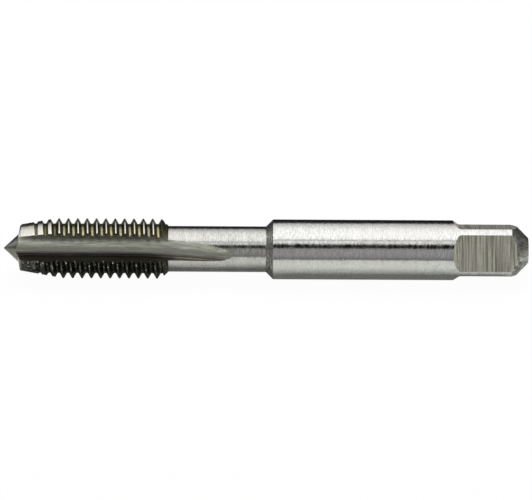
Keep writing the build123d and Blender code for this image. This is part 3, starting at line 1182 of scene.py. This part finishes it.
def stage_sheet(name, corners, material):
    """A flat or curved sheet of the stage from a grid of corners, rows by columns by three."""
    rows, columns = corners.shape[:2]
    index = np.arange(rows * columns).reshape(rows, columns)
    faces = np.stack([index[:-1, :-1], index[:-1, 1:], index[1:, 1:], index[1:, :-1]], axis=-1)
    mesh = bpy.data.meshes.new(name)
    mesh.from_pydata(corners.reshape(-1, 3).tolist(), [], faces.reshape(-1, 4).tolist())
    mesh.materials.append(material)
    sheet = bpy.data.objects.new(name, mesh)
    bpy.context.scene.collection.objects.link(sheet)
    return sheet


# How far the tunnel of panels stands off the floor, and its columns of faces
TENT_GAP = 0.1 * MM
TENT_COLUMNS = 90
# The panels' brightness, by the angle in degrees round the tap from the horizon in front, over the top
PANEL_STOPS = (
    (-30, "black"), (-9, 0.5), (-6.5, 0.21), (-3, 0.21), (0, 0.34), (12, 0.41), (32.5, 0.41),
    (35.7, "black"), (49.2, "black"), (52.4, 0.9), (57, 1.2), (62.5, 1.25), (64.0, 0.45), (67, 0.5),
    (69.5, 1.5), (80, 1.57), (93, 1.6), (112, 1.46), (123, 1.27), (129, 1.1), (136, 0.93), (142, 0.85),
    (147, 0.62), (150, 0.33), (154, 0.08), (160, "black"), (187, "black"), (195, 0.7), (210, 0.7),
)


def panel_light(studio):
    """Light of the tunnel's panels, by the angle round the tap."""
    material, nodes, surface = empty_material("tent_panels")
    parts = nodes.parts(nodes.place())
    angle = nodes.math("ARCTAN2", parts["Z"], nodes.math("MULTIPLY", parts["Y"], -1.0))
    degrees = nodes.math("DEGREES", nodes.math("WRAP", angle, 3 * QUARTER_TURN, -QUARTER_TURN))
    colour = nodes.levels(degrees, PANEL_STOPS, studio.panel_black)
    light = nodes.add("ShaderNodeEmission", {"Color": colour, "Strength": studio.panel_level})
    nodes.give(surface, light.outputs[0])
    return material


def end_light(studio):
    """Light of the two panels that close the tunnel's ends."""
    material, nodes, surface = empty_material("tent_ends")
    light = nodes.add("ShaderNodeEmission", {"Color": WHITE, "Strength": studio.panel_end})
    nodes.give(surface, light.outputs[0])
    return material


def floor_finish(studio):
    """Matt white floor.

    Most of its shadow is lifted to the camera and through glass, and a share of that in mirrored rays.
    """
    material, nodes, surface = empty_material("studio_floor")
    matt = nodes.add("ShaderNodeBsdfDiffuse", {"Color": (*studio.floor_colour, 1)})
    glow = nodes.add("ShaderNodeEmission", {"Color": WHITE, "Strength": 1.0})
    path = nodes.add("ShaderNodeLightPath").outputs
    mirrored = nodes.math("MULTIPLY", path["Is Glossy Ray"], studio.mirrored_lift)
    seen = nodes.math("MAXIMUM", path["Is Camera Ray"], path["Is Transmission Ray"])
    lift = nodes.math("MULTIPLY", nodes.math("MAXIMUM", seen, mirrored), studio.shadow_lift)
    mixed = nodes.add("ShaderNodeMixShader", {0: lift, 1: matt.outputs[0], 2: glow.outputs[0]})
    nodes.give(surface, mixed.outputs[0])
    return material


class TAP_OT_studio(bpy.types.Operator):
    """Set up the camera, the floor and the soft lights"""

    bl_idname = "machine_tap.studio"
    bl_label = "Studio"

    def execute(self, context):
        scene = context.scene
        studio = scene.tap_studio
        self.add_camera(scene, studio)
        self.add_floor(scene, studio)
        self.add_tent(scene, studio)
        self.add_lamp(scene, studio)
        scene.view_settings.view_transform = "Standard"
        return {"FINISHED"}

    def add_camera(self, scene, studio):
        """A long lens, square to the tap's length, that looks down on it."""
        lens = bpy.data.cameras.new("camera")
        lens.lens = lens.sensor_width * studio.distance / studio.view_width
        lens.clip_end = 2 * studio.floor_size
        turn = Euler((math.pi / 2 - studio.view_height_angle, 0, 0)).to_matrix()
        turn = turn @ Euler((0, 0, studio.view_roll)).to_matrix()
        camera = bpy.data.objects.new("camera", lens)
        camera.rotation_euler = turn.to_euler()
        camera.location = turn @ Vector((0, -studio.view_drop, studio.distance))
        scene.collection.objects.link(camera)
        scene.camera = camera

    def add_floor(self, scene, studio):
        """A level floor that the tap lies on."""
        side = np.linspace(-studio.floor_size / 2, studio.floor_size / 2, 2)
        across, along = np.meshgrid(side, side)
        level = np.full_like(across, -scene.tap_shank.diameter / 2)
        stage_sheet("floor", np.stack([across, along, level], axis=-1), floor_finish(studio))

    def add_tent(self, scene, studio):
        """A tunnel of panels round the tap that only mirrored rays see, with an apron on the floor
        in front and behind and a panel across each end.

        The tunnel is radius * (-cos, sin) of the angle, carried along the tap's length.
        """
        level = TENT_GAP - scene.tap_shank.diameter / 2
        angle = np.linspace(0, math.pi, TENT_COLUMNS + 1)
        tunnel = studio.tent_radius * np.cos(angle)
        toward = np.concatenate([[studio.front_apron], tunnel, [-studio.back_apron]])
        height = np.concatenate([[0], studio.tent_radius * np.sin(angle), [0]]) + level
        ends = np.array([-0.5, 0.5]) * studio.tent_length
        toward, along = np.meshgrid(toward, ends)
        height = np.broadcast_to(height, toward.shape)
        tunnel = stage_sheet("tent_tunnel", np.stack([along, -toward, height], -1), panel_light(studio))
        sides = np.array([-1.0, 1.0]) * studio.tent_radius
        across, up = np.meshgrid(sides, np.array([level, studio.tent_radius]))
        finish = end_light(studio)
        panels = [tunnel]
        for name, end in zip(("tent_end_front", "tent_end_back"), ends):
            places = np.stack([np.full_like(across, end), across, up], -1)
            panels.append(stage_sheet(name, places, finish))
        for panel in panels:
            panel.visible_camera = False
            panel.visible_diffuse = False
            panel.visible_shadow = False

    def add_lamp(self, scene, studio):
        """One wide soft lamp overhead, which lights the floor, and an even light from all round."""
        light = bpy.data.lights.new("soft_lamp", "AREA")
        light.shape = "RECTANGLE"
        light.size = studio.lamp_width
        light.size_y = studio.lamp_depth
        light.energy = studio.lamp_power
        lamp = bpy.data.objects.new("soft_lamp", light)
        lamp.location = (0, studio.lamp_behind, studio.lamp_height)
        lamp.visible_camera = False
        lamp.visible_glossy = False
        scene.collection.objects.link(lamp)
        world = bpy.data.worlds.new("studio")
        scene.world = world
        world.use_nodes = True
        nodes = Nodes(world.node_tree)
        path = nodes.add("ShaderNodeLightPath").outputs
        seen = nodes.math("MAXIMUM", path["Is Camera Ray"], path["Is Glossy Ray"])
        seen = nodes.math("MAXIMUM", seen, path["Is Transmission Ray"])
        level = nodes.spread(seen, 0, 1, studio.fill_level, 1.0)
        background = world.node_tree.nodes["Background"].inputs
        nodes.give(background["Color"], WHITE)
        nodes.give(background["Strength"], level)


class TAP_PT_panel(bpy.types.Panel):
    """The tap's operators, in the order in which they run"""

    bl_idname = "TAP_PT_panel"
    bl_label = "Machine tap"
    bl_space_type = "VIEW_3D"
    bl_region_type = "UI"
    bl_category = "Machine tap"

    def draw(self, context):
        for operator in (TAP_OT_ground_tap, TAP_OT_studio):
            self.layout.operator(operator.bl_idname)


SETTINGS = {
    "tap_point": TapPointSizes,
    "tap_thread": ThreadSizes,
    "tap_flute": FluteSizes,
    "tap_shank": ShankSizes,
    "tap_square": SquareSizes,
    "tap_mesh": MeshSettings,
    "tap_finish": FinishSettings,
    "tap_studio": StudioSettings,
}
CLASSES = (*SETTINGS.values(), TAP_OT_ground_tap, TAP_OT_studio, TAP_PT_panel)


def register():
    for each in CLASSES:
        bpy.utils.register_class(each)
    for name, settings in SETTINGS.items():
        setattr(bpy.types.Scene, name, PointerProperty(type=settings))


def unregister():
    for name in SETTINGS:
        delattr(bpy.types.Scene, name)
    for each in reversed(CLASSES):
        bpy.utils.unregister_class(each)


def main():
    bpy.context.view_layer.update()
    register()
    bpy.ops.machine_tap.ground_tap()
    bpy.ops.machine_tap.studio()


if __name__ == "__main__":
    main()
